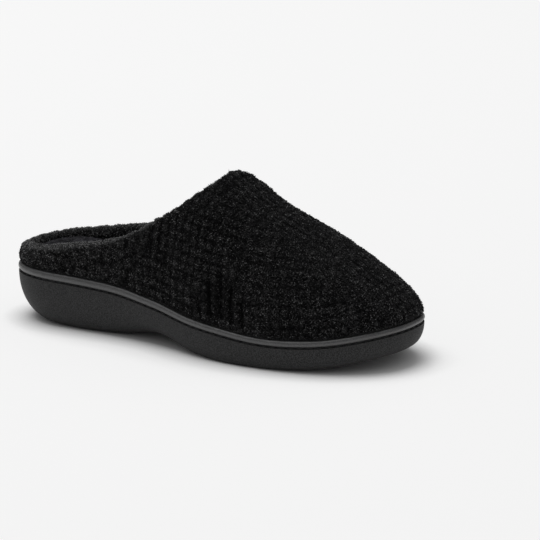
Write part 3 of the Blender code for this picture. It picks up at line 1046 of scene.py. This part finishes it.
# The cushioned insole, whose sides follow the lining
insole = {
    "columns": 360,
    "rows": (60, 8, 34),
    "heelCushion": 13.0,
    "forefootCushion": 8.0,
    "crown": 2.0,
    "clear": 0.45,  # from the lining
    "sideRings": 12,
    "crownRings": 16,
    "inward": 0.97,  # how far the rings of the top draw together
    "nap": 0.3,
    "napSize": 3.3,
    "archPad": 4.0,  # rise on the medial side
    "archPlace": (98.0, 46.0),  # its middle from the heel and its half length
    "deep": (0.0040, 0.0039, 0.0046),
    "light": (0.0520, 0.0512, 0.0570),
    "lightShare": 0.48,
    "fluffScale": 430,
    "fluffTone": 5.6,
    "fluffDepth": 0.0018,
    "cloudScale": 90,
    "cloudTone": 0.9,
}


def fleeceFinish():
    steady = {"Roughness": 0.95, "Specular IOR Level": 0.05}
    material, wire, shader = newFinish("insoleFleece", steady)
    place = placeOn(wire)
    fluff = noiseOver(place, insole["fluffScale"], 3, rough=0.6, warp=1.5)
    clouds = noiseOver(place, insole["cloudScale"], 2)
    tone = fluff * insole["fluffTone"] + clouds * insole["cloudTone"] + insole["lightShare"]
    normal = bumped(fluff, 1.0, insole["fluffDepth"])
    connect(shader, {"Base Color": tone.mixed(insole["deep"], insole["light"]), "Normal": normal})
    return material


def makeInsole():
    count = insole["columns"]
    turn = np.arange(count) * 2 * math.pi / count
    lining = upperSection(turn, insole["rows"], True)[belowRows + insole["rows"][0] :][::-1]
    low = rimTop(shareAt(turn)) - last["rimHeight"] + last["fitGap"]
    thicker = insole["heelCushion"] - insole["forefootCushion"]
    cushion = insole["forefootCushion"] + thicker * np.clip(rimWay(shareAt(turn)), 0, 1)
    push = outwardAt(turn)
    tops = np.argmax(lining[:, :, 2], axis=0) + 1
    rings = []
    for rise in np.linspace(0, 1, insole["sideRings"]):
        around = np.clip(np.linspace(rise - 0.15, rise + 0.15, 7), 0, 1)
        ring = np.zeros((count, 3))
        for i, top in enumerate(tops):
            heights, column = low[i] + cushion[i] * around, lining[:top, i].T
            near = np.stack([np.interp(heights, column[2], column[axis]) for axis in (0, 1)], -1)
            ring[i, :2] = near[np.argmin(near @ push[i])] - push[i] * insole["clear"]
        if rings:
            wider = ((ring[:, :2] - rings[-1][:, :2]) * push).sum(1) > 0
            ring[wider, :2] = rings[-1][wider, :2]
        ring[:, 2] = low + cushion * rise
        rings.append(ring)
    edge = rings[-1]
    spine = np.array([last["heelEnd"], 1 - last["toeEnd"] / 2]) * last["soleLength"]
    spine = np.clip(edge[:, 1], *spine)
    padMiddle, padHalf = insole["archPlace"]
    for k in range(1, insole["crownRings"] + 1):
        way = insole["inward"] * (k / insole["crownRings"]) ** 1.3
        inner = edge.copy()
        inner[:, 0] += (middleAt(spine) - edge[:, 0]) * way
        inner[:, 1] += (spine - edge[:, 1]) * way
        inner[:, 2] += insole["crown"] * (1 - (1 - way) ** 4.5)
        medial = np.clip((inner[:, 0] - middleAt(inner[:, 1])) / 30, 0, 1)
        pad = np.clip(1 - ((inner[:, 1] - padMiddle) / padHalf) ** 2, 0, 1) ** 2
        inner[:, 2] += insole["archPad"] * pad * (0.35 + 0.65 * medial) * min(way / 0.15, 1)
        lumps = noiseAt(inner[:, 0], inner[:, 1], insole["napSize"], 51)
        inner[:, 2] += insole["nap"] * lumps * (1 - way**6)
        rings.append(inner)
    faces, fleece = closedFaces(len(rings), count), fleeceFinish()
    piece = addPiece("insoleCushion", np.concatenate(rings), faces, fleece)
    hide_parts("insole")
    print("insoleCushion has", triangles(faces), "triangles")


makeStitches()
makeInsole()


# Camera at the photograph's angle
camera = {"place": (-1.158, -0.708, 0.391), "aim": (0.0160, -0.0299, 0.0406), "lens": 157.9}


def addCamera():
    data = bpy.data.cameras.new("camera")
    data.lens, data.sensor_width = camera["lens"], 36
    eye = placed("camera", data)
    aimed(eye, camera["place"], camera["aim"])
    bpy.context.scene.camera = eye


addCamera()

# Pale floor and soft light
stage = {
    "floor": 0.80,
    "floorHalf": 8,
    "glow": 0.285,  # the floor's own light, which fades close to the slipper
    "contact": 0.018,
    "contactPower": 1.5,
    "world": 0.17,
    "key": 510.0,
    "keySize": (7.2, 6.0),
    "keyPlace": (0.4, 1.8, 8.0),
}


def addStage():
    world = bpy.data.worlds.new("studio")
    world.use_nodes = True
    sky = world.node_tree.nodes["Background"].inputs
    sky["Color"].default_value = (1, 1, 1, 1)
    sky["Strength"].default_value = stage["world"]
    bpy.context.scene.world = world
    bpy.context.scene.view_settings.view_transform = "Standard"
    steady = {
        "Base Color": (stage["floor"],) * 3 + (1,),
        "Roughness": 0.9,
        "Specular IOR Level": 0.0,
        "Emission Strength": stage["glow"],
    }
    paper, wire, shader = newFinish("paper", steady)
    near = {"Distance": stage["contact"]}
    clear = wire.node("ShaderNodeAmbientOcclusion", {"samples": 12}, near, out=1)
    clear = clear ** stage["contactPower"]
    connect(shader, {"Emission Color": clear.mixed((0, 0, 0), (1, 1, 1))})
    mesh, half = bpy.data.meshes.new("floor"), stage["floorHalf"]
    corners = [(-half, -half, 0), (half, -half, 0), (half, half, 0), (-half, half, 0)]
    mesh.from_pydata(corners, [], [(0, 1, 2, 3)])
    mesh.materials.append(paper)
    placed("floor", mesh)
    light = bpy.data.lights.new("key", "AREA")
    light.shape, light.energy = "RECTANGLE", stage["key"]
    light.size, light.size_y = stage["keySize"]
    aimed(placed("key", light), stage["keyPlace"], (0, 0, 0))


addStage()
print("stage and camera set")
